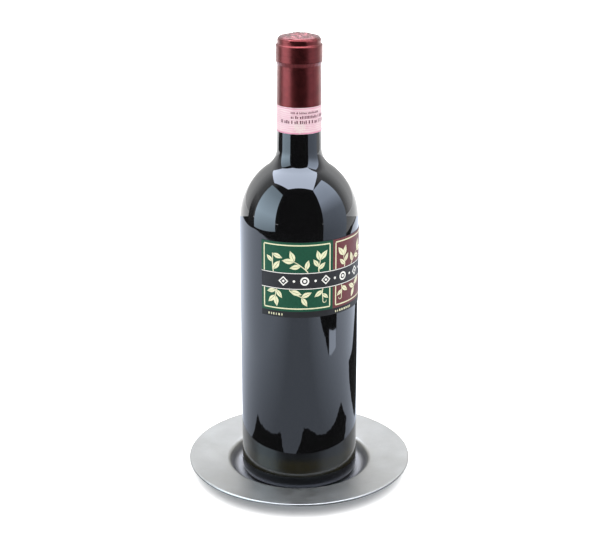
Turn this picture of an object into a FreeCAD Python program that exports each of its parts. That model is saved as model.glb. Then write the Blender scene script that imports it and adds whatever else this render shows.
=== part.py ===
import FreeCAD
import Part
import Sketcher
import math
import os

# A wide-rimmed pewter coaster for one wine bottle, with the bottle that stands in its well.
# Millimetres. +Z is up, the origin is on the table under the centre of the coaster, and the
# bottle is turned in the well so that its label faces a little to the right of -Y.

SIZES = {
    # Coaster: a spun plate with a nearly flat rim, a coved well and a low foot ring.
    "rim_radius": 73.6,
    "rim_top_z": 12.9,
    "rim_under_z": 11.1,
    "rim_edge_round": 0.8,
    "lip_radius": 46.8,
    "lip_z": 10.5,
    "lip_round": 3.2,
    "lip_under_radius": 48.1,
    "lip_under_z": 8.6,
    "lip_under_round": 1.4,
    "well_radius": 43.0,
    "well_floor_z": 3.0,
    "well_cove": 5.0,
    "well_under_radius": 44.2,
    "well_under_z": 1.0,
    "well_under_round": 6.5,
    "foot_outer_radius": 39.0,
    "foot_inner_radius": 34.0,
    "foot_round": 0.4,
    # Bottle, outside. Heights of the bottle and all that is on it count from the well floor.
    "body_radius": 38.0,
    "heel_round": 5.0,
    "bearing_radius": 28.5,
    "bearing_round": 1.6,
    "punt_height": 22.0,
    "punt_crown": 9.0,
    "punt_round": 8.0,
    "shoulder_z": 196.2,
    "shoulder_round": 41.5,
    "neck_base_z": 213.3,
    "neck_base_radius": 14.4,
    "neck_round": 14.6,
    "neck_top_radius": 13.3,
    "ring_bottom_z": 275.7,
    "ring_top_z": 284.9,
    "ring_radius": 14.2,
    "ring_round": 0.7,
    "ring_slope": 1.0,
    "mouth_radius": 13.2,
    "mouth_z": 289.7,
    "mouth_round": 1.3,
    "mouth_inner_round": 0.5,
    # Bottle, inside.
    "cavity_radius": 35.7,
    "cavity_floor_z": 7.0,
    "cavity_heel_round": 6.0,
    "cavity_punt_radius": 27.5,
    "cavity_crown_radius": 11.0,
    "cavity_crown_z": 27.0,
    "cavity_shoulder_z": 194.7,
    "cavity_shoulder_round": 39.0,
    "cavity_neck_z": 212.8,
    "cavity_neck_radius": 10.6,
    "cavity_neck_round": 17.0,
    "bore_foot_z": 233.0,
    "bore_cone": 4.0,
    "bore_radius": 9.25,
    "fill_z": 226.0,
    "wine_gap": 0.05,
    # What closes the bottle.
    "cork_radius": 9.2,
    "cork_length": 45.0,
    "cork_recess": 0.8,
    "cork_round": 0.7,
    # Foil capsule, cut under the ring: its sleeve stays, its cap lifts off.
    "foil": 0.2,
    "foil_gap": 0.12,
    "hem_z": 248.7,
    "crease_z": 273.3,
    "cut_z": 275.6,
    "cut_width": 0.15,
    "cap_fold_radius": 9.0,
    "disc_radius": 12.6,
    "disc_thick": 0.35,
    # Printed papers.
    "paper": 0.15,
    "paper_gap": 0.03,
    "band_z": 232.2,
    "band_overlap_gap": 0.1,
    "label_z": 121.0,
    "label_height": 49.2,
    "label_width": 93.8,
    "label_turn": 33.2,
}

NODES = []
doc = FreeCAD.newDocument("bottle_coaster")
sheet = doc.addObject("Spreadsheet::Sheet", "Sizes")


def fill_sheet():
    """Writes each driving size to the sheet, with its name beside it and as its alias."""
    for row, (name, size) in enumerate(SIZES.items(), start=1):
        sheet.set("A%d" % row, name)
        sheet.set("B%d" % row, str(size))
        sheet.setAlias("B%d" % row, name)
    doc.recompute()


def cells(expression):
    """The expression with each size's name turned into a reference to its cell."""
    words = [("Sizes." + word if word in SIZES else word) for word in str(expression).split()]
    return " ".join(words)


def value(expression):
    """The present value of an expression, as a plain number."""
    return float(FreeCAD.Units.Quantity(str(sheet.evalExpression(cells(expression)))).Value)


def new_body(name, height="0", turn="0"):
    """A labelled body for one piece, raised by a height and turned about Z by some degrees."""
    body = doc.addObject("PartDesign::Body", name)
    body.Label = name
    body.Placement = FreeCAD.Placement(
        FreeCAD.Vector(0, 0, value(height)),
        FreeCAD.Rotation(FreeCAD.Vector(0, 0, 1), value(turn)),
    )
    body.setExpression(".Placement.Base.z", cells(height))
    if turn != "0":
        body.setExpression(".Placement.Rotation.Angle", cells(turn))
    NODES.append(body)
    return body


def new_sketch(body):
    """A sketch on the body's own upright plane: its x is the radius and its y the height."""
    sketch = body.newObject("Sketcher::SketchObject", body.Name + "_outline")
    plane = next(item for item in body.Origin.OriginFeatures if item.Role == "XZ_Plane")
    sketch.AttachmentSupport = [(plane, "")]
    sketch.MapMode = "FlatFace"
    return sketch


def bind(sketch, constraint, expression):
    """Adds a dimension to the sketch and binds it to an expression."""
    index = sketch.addConstraint(constraint)
    sketch.setExpression("Constraints[%d]" % index, cells(expression))


def place_point(sketch, geometry, end, corner):
    """Holds one end of a geometry at a corner's radius and height."""
    for kind, axis, expression in (("DistanceX", -2, corner[0]), ("DistanceY", -1, corner[1])):
        size = value(expression)
        if abs(size) < 1e-9:
            sketch.addConstraint(Sketcher.Constraint("PointOnObject", geometry, end, axis))
        else:
            constraint = Sketcher.Constraint(kind, -1, 1, geometry, end, size)
            bind(sketch, constraint, expression)


def rounded(before, corner, after, radius):
    """Start, middle and end of the arc of this radius that rounds a corner."""
    back = (before - corner).normalize()
    on = (after - corner).normalize()
    half = back.getAngle(on) / 2
    reach = radius / math.tan(half)
    inward = (back + on).normalize()
    middle = corner + inward * (radius / math.sin(half) - radius)
    return corner + back * reach, middle, corner + on * reach


def draw_outline(sketch, corners):
    """Draws a closed outline of lines through the corners: (radius, height) or
    (radius, height, rounding), each an expression."""
    places = [FreeCAD.Vector(value(corner[0]), value(corner[1]), 0) for corner in corners]
    count = len(corners)
    bends = []
    for index, corner in enumerate(corners):
        if len(corner) == 3:
            after = places[(index + 1) % count]
            bends.append(rounded(places[index - 1], places[index], after, value(corner[2])))
        else:
            bends.append((places[index], places[index], places[index]))
    lines = []
    for index in range(count):
        start = bends[index][2]
        end = bends[(index + 1) % count][0]
        lines.append(sketch.addGeometry(Part.LineSegment(start, end), False))
    for index, corner in enumerate(corners):
        before, after = lines[index - 1], lines[index]
        if len(corner) == 2:
            sketch.addConstraint(Sketcher.Constraint("Coincident", before, 2, after, 1))
            place_point(sketch, after, 1, corner)
        else:
            round_corner(sketch, corner, places[index], bends[index], before, after)


def round_corner(sketch, corner, place, bend, before, after):
    """Joins two lines by a tangent arc, and holds the corner that they point at."""
    arc = sketch.addGeometry(Part.Arc(*bend), False)
    starts = sketch.getPoint(arc, 1).distanceToPoint(bend[0]) < 1e-6
    first, last = (1, 2) if starts else (2, 1)
    point = sketch.addGeometry(Part.Point(place), True)
    place_point(sketch, point, 1, corner)
    sketch.addConstraint(Sketcher.Constraint("PointOnObject", point, 1, before))
    sketch.addConstraint(Sketcher.Constraint("PointOnObject", point, 1, after))
    sketch.addConstraint(Sketcher.Constraint("Tangent", before, 2, arc, first))
    sketch.addConstraint(Sketcher.Constraint("Tangent", arc, last, after, 1))
    bind(sketch, Sketcher.Constraint("Radius", arc, value(corner[2])), corner[2])


def turned(body, corners):
    """Revolves an outline fully about the vertical axis."""
    sketch = new_sketch(body)
    draw_outline(sketch, corners)
    turning = body.newObject("PartDesign::Revolution", body.Name + "_turned")
    turning.Profile = sketch
    turning.ReferenceAxis = (sketch, ["V_Axis"])
    turning.Angle = 360
    sketch.Visibility = False
    return turning


def tube_corners(inner, outer, bottom, top):
    """The four corners of a plain tube's wall."""
    return [(inner, bottom), (outer, bottom), (outer, top), (inner, top)]


def neck_radius(height):
    """The outer radius of the tapering glass neck at a height, as an expression."""
    share = "( ( %s ) - neck_base_z ) / ( ring_bottom_z - neck_base_z )" % height
    return "neck_base_radius + ( neck_top_radius - neck_base_radius ) * %s" % share


def make_coaster_plate():
    """The coaster: rim, rounded lip, coved well, foot ring and an even metal underneath."""
    turned(new_body("coaster_plate"), [
        ("0", "well_floor_z"),
        ("0", "well_under_z"),
        ("foot_inner_radius", "well_under_z"),
        ("foot_inner_radius", "0", "foot_round"),
        ("foot_outer_radius", "0", "foot_round"),
        ("foot_outer_radius", "well_under_z"),
        ("well_under_radius", "well_under_z", "well_under_round"),
        ("lip_under_radius", "lip_under_z", "lip_under_round"),
        ("rim_radius", "rim_under_z", "rim_edge_round"),
        ("rim_radius", "rim_top_z", "rim_edge_round"),
        ("lip_radius", "lip_z", "lip_round"),
        ("well_radius", "well_floor_z", "well_cove"),
    ])


def make_bottle_glass():
    """The glass: punt, heel, straight body, round shoulder, tapering neck, ring and mouth
    outside; bore, shoulder and domed floor inside."""
    outside = [
        ("0", "punt_height"),
        ("punt_crown", "punt_height", "punt_round"),
        ("bearing_radius", "0", "bearing_round"),
        ("body_radius", "0", "heel_round"),
        ("body_radius", "shoulder_z", "shoulder_round"),
        ("neck_base_radius", "neck_base_z", "neck_round"),
        ("neck_top_radius", "ring_bottom_z"),
        ("ring_radius", "ring_bottom_z", "ring_round"),
        ("ring_radius", "ring_top_z", "ring_round"),
        ("mouth_radius", "ring_top_z + ring_slope"),
        ("mouth_radius", "mouth_z", "mouth_round"),
    ]
    inside = [
        ("bore_radius", "mouth_z", "mouth_inner_round"),
        ("bore_radius", "bore_foot_z"),
        ("cavity_neck_radius", "bore_foot_z - bore_cone"),
        ("cavity_neck_radius", "cavity_neck_z", "cavity_neck_round"),
        ("cavity_radius", "cavity_shoulder_z", "cavity_shoulder_round"),
        ("cavity_radius", "cavity_floor_z", "cavity_heel_round"),
        ("cavity_punt_radius", "cavity_floor_z"),
        ("cavity_crown_radius", "cavity_crown_z"),
        ("0", "cavity_crown_z"),
    ]
    turned(new_body("bottle_glass", "well_floor_z"), outside + inside)


def make_wine():
    """The wine: the cavity's shape up to the fill height, a hair clear of the glass."""
    wall = "cavity_radius - wine_gap"
    neck = "cavity_neck_radius - wine_gap"
    turned(new_body("wine", "well_floor_z"), [
        ("0", "fill_z"),
        ("0", "cavity_crown_z + wine_gap"),
        ("cavity_crown_radius", "cavity_crown_z + wine_gap"),
        ("cavity_punt_radius", "cavity_floor_z + wine_gap"),
        (wall, "cavity_floor_z + wine_gap", "cavity_heel_round"),
        (wall, "cavity_shoulder_z", "cavity_shoulder_round"),
        (neck, "cavity_neck_z", "cavity_neck_round"),
        (neck, "fill_z"),
    ])


def make_cork():
    """The cork, a little under flush with the mouth, its ends rounded."""
    top = "mouth_z - cork_recess"
    turned(new_body("cork", "well_floor_z"), [
        ("0", top),
        ("0", top + " - cork_length"),
        ("cork_radius", top + " - cork_length", "cork_round"),
        ("cork_radius", top, "cork_round"),
    ])


def make_capsule_sleeve():
    """The part of the foil capsule that stays on the neck, flared where it meets the ring."""
    hem = neck_radius("hem_z") + " + foil_gap"
    crease = neck_radius("crease_z") + " + foil_gap"
    flare = "ring_radius + foil_gap"
    turned(new_body("capsule_sleeve", "well_floor_z"), [
        (hem, "hem_z"),
        (hem + " + foil", "hem_z"),
        (crease + " + foil", "crease_z"),
        (flare + " + foil", "cut_z - cut_width"),
        (flare, "cut_z - cut_width"),
        (crease, "crease_z + foil"),
    ])


def make_capsule_cap():
    """The part of the foil capsule over the ring and mouth, with its top edge folded in."""
    ring = "ring_radius + foil_gap"
    mouth = "mouth_radius + foil_gap"
    slope = "ring_top_z + ring_slope + foil_gap"
    top = "mouth_z + foil_gap"
    turned(new_body("capsule_cap", "well_floor_z"), [
        (ring, "cut_z"),
        (ring + " + foil", "cut_z"),
        (ring + " + foil", "ring_top_z + foil_gap + foil", "ring_round"),
        (mouth + " + foil", slope + " + foil"),
        (mouth + " + foil", top + " + foil", "mouth_round"),
        ("cap_fold_radius", top + " + foil"),
        ("cap_fold_radius", top),
        (mouth, top, "mouth_round"),
        (mouth, slope),
        (ring, "ring_top_z + foil_gap", "ring_round"),
    ])


def make_capsule_disc():
    """The disc that closes the top of the capsule, on the folded edge."""
    seat = "mouth_z + foil_gap + foil"
    corners = tube_corners("0", "disc_radius", seat, seat + " + disc_thick")
    turned(new_body("capsule_disc", "well_floor_z"), corners)


def make_neck_band():
    """The paper band round the neck, just under the capsule's hem."""
    top = "hem_z - band_overlap_gap"
    lower = neck_radius("band_z") + " + paper_gap"
    upper = neck_radius(top) + " + paper_gap"
    turned(new_body("neck_band", "well_floor_z"), [
        (lower, "band_z"),
        (lower + " + paper", "band_z"),
        (upper + " + paper", top),
        (upper, top),
    ])


def make_front_label():
    """The label: a sheet of paper bent round the body, its middle turned from -Y."""
    body = new_body("front_label", "well_floor_z", "label_turn - 90")
    inner = "body_radius + paper_gap"
    sketch = new_sketch(body)
    top = "label_z + label_height"
    draw_outline(sketch, tube_corners(inner, inner + " + paper", "label_z", top))
    bent = body.newObject("PartDesign::Revolution", "front_label_bent")
    bent.Profile = sketch
    bent.ReferenceAxis = (sketch, ["V_Axis"])
    bent.Midplane = True
    bent.setExpression("Angle", cells("label_width / body_radius * 180 / pi"))
    sketch.Visibility = False


def check_model():
    """Stops if any object failed to build, or any piece is empty or not a valid solid."""
    for item in doc.Objects:
        if "Invalid" in item.State or "Error" in item.State:
            raise RuntimeError("%s failed to build: %s" % (item.Name, item.State))
    for node in NODES:
        shape = node.Shape
        if shape.isNull() or not shape.isValid() or len(shape.Solids) != 1:
            raise RuntimeError("%s is not one valid solid" % node.Label)
        print("%-16s %9.0f mm3" % (node.Label, shape.Volume))


def write_parts():
    """Writes each piece to its own STEP file."""
    os.makedirs("parts", exist_ok=True)
    for node in NODES:
        node.Shape.exportStep("parts/%s.step" % node.Label)


fill_sheet()
make_coaster_plate()
make_bottle_glass()
make_wine()
make_cork()
make_capsule_sleeve()
make_capsule_cap()
make_capsule_disc()
make_neck_band()
make_front_label()
doc.recompute()
check_model()
write_parts()
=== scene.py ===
"""A pewter bottle coaster with the wine bottle that stands in it, dressed around its CAD frame.

Lengths are in metres. +Z is up and the bottle's axis is the Z axis. An azimuth is an angle
round that axis, counted from -Y towards +X.
"""

import logging
import math
import random
from dataclasses import dataclass, field
from enum import Enum
from typing import Callable, Iterable, Sequence

import bmesh
import bpy
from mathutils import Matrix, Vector


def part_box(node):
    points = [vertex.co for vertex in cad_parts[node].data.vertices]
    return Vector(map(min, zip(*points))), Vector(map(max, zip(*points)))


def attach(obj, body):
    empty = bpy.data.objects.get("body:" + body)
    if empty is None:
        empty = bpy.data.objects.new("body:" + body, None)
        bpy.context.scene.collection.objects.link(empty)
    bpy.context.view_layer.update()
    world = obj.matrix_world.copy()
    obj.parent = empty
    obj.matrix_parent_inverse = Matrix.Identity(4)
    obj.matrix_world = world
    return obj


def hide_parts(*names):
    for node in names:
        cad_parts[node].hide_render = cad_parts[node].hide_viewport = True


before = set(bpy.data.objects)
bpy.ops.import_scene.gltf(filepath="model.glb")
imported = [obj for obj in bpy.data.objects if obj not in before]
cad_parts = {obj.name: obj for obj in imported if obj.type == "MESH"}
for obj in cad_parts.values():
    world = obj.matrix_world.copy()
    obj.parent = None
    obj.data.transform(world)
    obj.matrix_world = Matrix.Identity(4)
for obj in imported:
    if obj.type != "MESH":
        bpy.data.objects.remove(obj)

MM = 0.001
LOG = logging.getLogger("coaster")
Colour = tuple[float, float, float]
Point = tuple[float, float]


class Slot(Enum):
    """The record's material slots."""

    PEWTER = "pewter"
    GLASS = "bottle_glass"
    WINE = "wine"
    CORK = "cork"
    FOIL = "capsule_foil"
    BAND = "band_paper"
    LABEL = "label_paper"


class Body(Enum):
    """The rigid bodies that pieces ride on."""

    COASTER = "coaster"
    BOTTLE = "bottle"
    CORK = "cork"
    CAPSULE = "capsule"


# ---------------------------------------------------------------- shapes


@dataclass
class Outline:
    """A line through corners, some of them rounded, that a turned piece is spun from.

    Args:
        corners: (radius, height) or (radius, height, rounding) in millimetres.
        closed: whether the last corner joins the first.
        arc_step: the largest turn, in degrees, between two points of a rounding.
        line_step: the longest stretch between two points of a line, in millimetres.
    """

    corners: Sequence[tuple[float, ...]]
    closed: bool = False
    arc_step: float = 3.0
    line_step: float = 4.0

    def points(self) -> list[Vector]:
        """Samples the line.

        Returns:
            Points as (radius, 0, height) vectors in metres.
        """
        found: list[Vector] = []
        count = len(self.corners)
        for index, corner in enumerate(self.corners):
            place = self._place(index)
            inner = self.closed or 0 < index < count - 1
            if len(corner) == 3 and inner:
                bend = self._bend(self._place(index - 1), place, self._place(index + 1), corner[2])
            else:
                bend = [place]
            if found:
                found += self._between(found[-1], bend[0])
            found += bend
        if self.closed:
            found += self._between(found[-1], found[0])
        return [point * MM for point in found]

    def _place(self, index: int) -> Vector:
        """The corner at an index, wrapped round the list's ends."""
        corner = self.corners[index % len(self.corners)]
        return Vector((corner[0], 0.0, corner[1]))

    def _bend(self, before: Vector, corner: Vector, after: Vector, radius: float) -> list[Vector]:
        """Points along the arc that rounds a corner.

        Args:
            before: the corner before it.
            corner: the corner to round.
            after: the corner after it.
            radius: the arc's radius.

        Returns:
            Points from the first line to the second.
        """
        back = (before - corner).normalized()
        on = (after - corner).normalized()
        half = back.angle(on) / 2
        centre = corner + (back + on).normalized() * (radius / math.sin(half))
        start = corner + back * (radius / math.tan(half)) - centre
        end = corner + on * (radius / math.tan(half)) - centre
        turn = start.angle(end)
        steps = max(3, math.ceil(math.degrees(turn) / self.arc_step))
        points = []
        for step in range(steps + 1):
            share = step / steps
            near = math.sin((1 - share) * turn) / math.sin(turn)
            far = math.sin(share * turn) / math.sin(turn)
            points.append(centre + start * near + end * far)
        return points

    def _between(self, start: Vector, end: Vector) -> list[Vector]:
        """The points that divide a straight stretch, without its ends."""
        steps = math.ceil((end - start).length / self.line_step)
        return [start.lerp(end, step / steps) for step in range(1, steps)]


def new_piece(name: str, bm: bmesh.types.BMesh, sharp: float = 40.0) -> bpy.types.Object:
    """Makes a smooth-shaded object at the origin from a finished bmesh.

    Args:
        name: the piece's name.
        bm: its mesh, which is freed.
        sharp: the least angle, in degrees, of an edge that stays sharp.

    Returns:
        The linked object.
    """
    mesh = bpy.data.meshes.new(name)
    bm.to_mesh(mesh)
    bm.free()
    mesh.shade_smooth()
    mesh.set_sharp_from_angle(angle=math.radians(sharp))
    piece = bpy.data.objects.new(name, mesh)
    bpy.context.scene.collection.objects.link(piece)
    return piece


def turned(outline: Outline, steps: int = 256) -> bmesh.types.BMesh:
    """Spins an outline once round the Z axis.

    Args:
        outline: the line to spin.
        steps: how many flats the full turn has.

    Returns:
        A closed mesh with its faces outwards.
    """
    bm = bmesh.new()
    verts = [bm.verts.new(point) for point in outline.points()]
    pairs = list(zip(verts, verts[1:]))
    if outline.closed:
        pairs.append((verts[-1], verts[0]))
    edges = [bm.edges.new(pair) for pair in pairs]
    bmesh.ops.spin(
        bm, geom=verts + edges, cent=(0, 0, 0), axis=(0, 0, 1),
        angle=math.tau, steps=steps, use_merge=True,
    )
    bmesh.ops.remove_doubles(bm, verts=bm.verts, dist=1e-6)
    bmesh.ops.recalc_face_normals(bm, faces=bm.faces)
    return bm


def azimuth(point: Vector) -> float:
    """The angle of a point round the Z axis, from -Y towards +X."""
    return math.atan2(point.x, -point.y)


def bump(distance: float, width: float) -> float:
    """A smooth hump of height one, by the distance from its middle."""
    return math.exp(-((distance / width) ** 2))


def turn_between(a: float, b: float) -> float:
    """The signed difference of two angles, between minus and plus half a turn."""
    return (a - b + math.pi) % math.tau - math.pi


def sculpt(bm: bmesh.types.BMesh, move: Callable[[Vector], Vector]) -> None:
    """Moves every vertex to where a function of its place says."""
    for vert in bm.verts:
        vert.co = move(vert.co)


# ---------------------------------------------------------------- flat print


@dataclass
class Wrap:
    """Bends flat artwork round the bottle.

    The artwork's x runs round the bottle and its y up it, in millimetres, and its z stands out
    from the surface.

    Args:
        radius: a function from height to the surface's radius, in millimetres.
        turn: the azimuth of x = 0, in radians.
        base: the height of y = 0, in millimetres.
    """

    radius: Callable[[float], float]
    turn: float
    base: float

    def bend(self, bm: bmesh.types.BMesh) -> None:
        """Moves flat vertices, in millimetres, onto the bottle, in metres.

        Args:
            bm: the print.
        """
        for vert in bm.verts:
            flat = vert.co.copy()
            height = self.base + flat.y
            surface = self.radius(height)
            angle = self.turn + flat.x / surface
            out = (surface + flat.z) * MM
            vert.co = Vector((out * math.sin(angle), -out * math.cos(angle), height * MM))


@dataclass
class Sheet:
    """Flat pieces of print at one level, gathered and then wrapped as one piece.

    Args:
        name: the piece's name.
        level: the height of its underside over the surface, in millimetres.
        thickness: in millimetres.
        step: the longest stretch between two of its points, in millimetres.
        bm: the mesh it gathers.
    """

    name: str
    level: float
    thickness: float = 0.02
    step: float = 1.2
    bm: bmesh.types.BMesh = field(default_factory=bmesh.new)

    def strip(self, length: float, rows: int) -> list[bmesh.types.BMVert]:
        """Adds a square grid from 0 to 1 both ways, cut to suit a length.

        Args:
            length: the length, in millimetres.
            rows: how many rows it is cut into.

        Returns:
            Its vertices, ready to be moved.
        """
        cuts = max(1, math.ceil(length / self.step))
        made = bmesh.ops.create_grid(self.bm, x_segments=cuts, y_segments=rows, size=0.5)
        for vert in made["verts"]:
            vert.co += Vector((0.5, 0.5, 0.0))
        return made["verts"]

    def rectangle(self, x: Point, y: Point) -> None:
        """Adds a rectangle between two x and two y.

        Args:
            x: its two ends.
            y: its two sides.
        """
        for vert in self.strip(abs(x[1] - x[0]), 1):
            vert.co.x = x[0] + (x[1] - x[0]) * vert.co.x
            vert.co.y = y[0] + (y[1] - y[0]) * vert.co.y

    def line(self, path: Callable[[float], Vector], length: float, width: Callable[[float], float]) -> None:
        """Adds a stroke along a path.

        Args:
            path: the stroke's middle for a share from 0 to 1.
            length: its rough length.
            width: its width for the same share.
        """
        small = 1e-3
        for vert in self.strip(max(length, 6 * self.step), 2):
            share, side = vert.co.x, vert.co.y - 0.5
            along = path(min(share + small, 1.0)) - path(max(share - small, 0.0))
            across = Vector((-along.y, along.x, 0.0)).normalized()
            vert.co = path(share) + across * (side * width(share))

    def ring(self, centre: Point, size: float, stroke: float, sides: int = 32, start: float = 0.0) -> None:
        """Adds a ring, or with four sides a lozenge outline.

        Args:
            centre: its middle.
            size: its radius.
            stroke: its line's width.
            sides: how many sides it has.
            start: the turn of its first corner, in radians.
        """
        def path(share: float) -> Vector:
            """The outline's middle at a share of its way round.

            Args:
                share: the share, from 0 to 1.

            Returns:
                The place.
            """
            turn = share * sides
            low = math.floor(turn)
            corners = [
                Vector((math.sin(start + math.tau * k / sides), math.cos(start + math.tau * k / sides), 0.0))
                for k in (low, low + 1)
            ]
            point = corners[0].lerp(corners[1], turn - low)
            return Vector((centre[0], centre[1], 0.0)) + point * size

        for vert in self.strip(self.step * max(sides, 16), 1):
            share, side = vert.co.x, vert.co.y - 0.5
            middle = path(share) - Vector((centre[0], centre[1], 0.0))
            vert.co = Vector((centre[0], centre[1], 0.0)) + middle * (1 + side * stroke / size)

    def leaf(self, base: Vector, heading: float, length: float, width: float) -> None:
        """Adds a pointed leaf as two halves with its midrib left open between them.

        Args:
            base: where it leaves the stem.
            heading: the way it points, in radians from +x.
            length: its length.
            width: its greatest width.
        """
        along = Vector((math.cos(heading), math.sin(heading), 0.0))
        across = Vector((-along.y, along.x, 0.0))
        rib = 0.11
        for side in (-1, 1):
            for vert in self.strip(length * 1.5, 2):
                share = vert.co.x
                belly = math.sin(math.pi * share ** 0.9) ** 1.15 if 0 < share < 1 else 0.0
                inner = rib * min(1.0, 3 * (1 - share)) * min(1.0, 5 * belly)
                out = inner + vert.co.y * max(width / 2 * belly - inner, 0.0)
                vert.co = base + along * (share * length) + across * (side * out)

    def wrapped(self, wrap: Wrap) -> bpy.types.Object:
        """Gives the print its thickness and bends it onto the bottle.

        Args:
            wrap: how it lies on the bottle.

        Returns:
            The finished piece.
        """
        bmesh.ops.remove_doubles(self.bm, verts=self.bm.verts, dist=1e-4)
        bmesh.ops.dissolve_degenerate(self.bm, edges=self.bm.edges, dist=1e-4)
        bmesh.ops.recalc_face_normals(self.bm, faces=self.bm.faces)
        up = [face for face in self.bm.faces if face.normal.z < 0]
        bmesh.ops.reverse_faces(self.bm, faces=up)
        bmesh.ops.solidify(self.bm, geom=self.bm.faces[:], thickness=self.thickness)
        low = min(vert.co.z for vert in self.bm.verts)
        bmesh.ops.translate(self.bm, verts=self.bm.verts, vec=(0, 0, self.level - low))
        wrap.bend(self.bm)
        bmesh.ops.recalc_face_normals(self.bm, faces=self.bm.faces)
        return new_piece(self.name, self.bm)


# ---------------------------------------------------------------- shading


class Nodes:
    """Adds and links the nodes of one tree."""

    def __init__(self, tree: bpy.types.NodeTree) -> None:
        """Keeps the tree."""
        self.tree = tree

    def add(self, kind: str, **settings: object) -> bpy.types.Node:
        """Adds a node and sets its properties.

        Args:
            kind: the node's type.
            settings: its properties.

        Returns:
            The node.
        """
        node = self.tree.nodes.new(kind)
        for name, setting in settings.items():
            setattr(node, name, setting)
        return node

    def link(self, output: bpy.types.NodeSocket, target: bpy.types.NodeSocket) -> None:
        """Links an output to an input."""
        self.tree.links.new(output, target)

    def math(self, operation: str, *parts: object) -> bpy.types.NodeSocket:
        """Adds a Math node on sockets or numbers.

        Args:
            operation: what it works out.
            parts: what it works on.

        Returns:
            Its output.
        """
        node = self.add("ShaderNodeMath", operation=operation)
        for index, part in enumerate(parts):
            if isinstance(part, (int, float)):
                node.inputs[index].default_value = part
            else:
                self.link(part, node.inputs[index])
        return node.outputs[0]

    def split(self, place: bpy.types.NodeSocket) -> Sequence[bpy.types.NodeSocket]:
        """A vector's three parts.

        Args:
            place: the vector.

        Returns:
            The x, y and z.
        """
        node = self.add("ShaderNodeSeparateXYZ")
        self.link(place, node.inputs[0])
        return node.outputs

    def length(self, *parts: bpy.types.NodeSocket) -> bpy.types.NodeSocket:
        """The length of a flat vector, from its two parts."""
        return self.math("SQRT", self.math("ADD", *(self.math("MULTIPLY", part, part) for part in parts)))

    def spread_along(self, coordinates: str, axis: str, stops: Sequence[Point]) -> bpy.types.NodeSocket:
        """Adds a value that changes along one axis and is held beyond its first and last stop.

        Args:
            coordinates: which coordinates the axis belongs to.
            axis: the axis's name.
            stops: (place, value), from the lowest place.

        Returns:
            The value.
        """
        coords = self.add("ShaderNodeTexCoord")
        spread = self.add("ShaderNodeMapRange")
        ramp = self.add("ShaderNodeValToRGB")
        low, span, peak = stops[0][0], stops[-1][0] - stops[0][0], max(value for _, value in stops)
        spread.inputs["From Min"].default_value = low
        spread.inputs["From Max"].default_value = low + span
        elements = ramp.color_ramp.elements
        while len(elements) < len(stops):
            elements.new(0.5)
        for element, (place, value) in zip(elements, stops):
            element.position = (place - low) / span
            element.color = (value / peak, value / peak, value / peak, 1.0)
        self.link(self.split(coords.outputs[coordinates])[axis], spread.inputs["Value"])
        self.link(spread.outputs["Result"], ramp.inputs["Fac"])
        return self.math("MULTIPLY", ramp.outputs["Color"], peak)


class Shader(Nodes):
    """A material being wired up."""

    def __init__(self, name: str) -> None:
        """Makes the material, by its name, with one Principled shader.

        Args:
            name: the material's name.
        """
        self.material = bpy.data.materials.new(name)
        self.material.use_nodes = True
        super().__init__(self.material.node_tree)
        self.surface = self.tree.nodes["Principled BSDF"]
        self.place = self.add("ShaderNodeTexCoord").outputs["Object"]

    def set(self, **values: object) -> None:
        """Sets uniform values on the Principled shader, its names written with underscores."""
        for name, setting in values.items():
            self.surface.inputs[name.replace("_", " ")].default_value = setting

    def feed(self, output: bpy.types.NodeSocket, name: str) -> None:
        """Links an output to an input of the Principled shader."""
        self.link(output, self.surface.inputs[name])

    def group(self, tree: bpy.types.NodeTree, **values: object) -> bpy.types.Node:
        """Places a node group on Object coordinates, with its own values.

        Args:
            tree: the group.
            values: what its inputs are set to.

        Returns:
            The node.
        """
        node = self.add("ShaderNodeGroup", node_tree=tree)
        self.link(self.place, node.inputs["Place"])
        for name, setting in values.items():
            node.inputs[name].default_value = setting
        return node

    def blend(self, share: object, a: object, b: object, mode: str = "MIX") -> bpy.types.NodeSocket:
        """Mixes two colours by a share, each a socket or a value.

        Args:
            share: how much of the second colour there is.
            a: the first colour.
            b: the second colour.
            mode: how they are mixed.

        Returns:
            The mixed colour.
        """
        node = self.add("ShaderNodeMix", data_type="RGBA", blend_type=mode)
        sockets = (node.inputs["Factor"], node.inputs[6], node.inputs[7])
        for socket, part in zip(sockets, (share, a, b)):
            if isinstance(part, bpy.types.NodeSocket):
                self.link(part, socket)
            elif isinstance(part, tuple):
                socket.default_value = (*part, 1.0)
            else:
                socket.default_value = part
        return node.outputs[2]

    def ramp(self, value: bpy.types.NodeSocket, low: Point, high: Point) -> bpy.types.NodeSocket:
        """Maps a value smoothly from one span to another, held at its ends.

        Args:
            value: the value.
            low: the span it comes from.
            high: the span it goes to.

        Returns:
            The mapped value.
        """
        node = self.add("ShaderNodeMapRange", interpolation_type="SMOOTHSTEP")
        self.link(value, node.inputs["Value"])
        for name, setting in zip(("From Min", "From Max", "To Min", "To Max"), (*low, *high)):
            node.inputs[name].default_value = setting
        return node.outputs["Result"]

    def radius_and_height(self) -> tuple[bpy.types.NodeSocket, bpy.types.NodeSocket]:
        """The distance from the Z axis, and the height, of the shaded point."""
        x, y, height = self.split(self.place)
        return self.length(x, y), height

    def raise_by(self, height: bpy.types.NodeSocket, depth: float, strength: float = 1.0) -> None:
        """Feeds a height through a Bump node into the shader's normal.

        Args:
            height: the height, from 0 to 1.
            depth: how deep a height of 1 is, in metres.
            strength: how strongly it shows.
        """
        node = self.add("ShaderNodeBump")
        node.inputs["Distance"].default_value = depth
        node.inputs["Strength"].default_value = strength
        self.link(height, node.inputs["Height"])
        self.feed(node.outputs["Normal"], "Normal")


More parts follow.
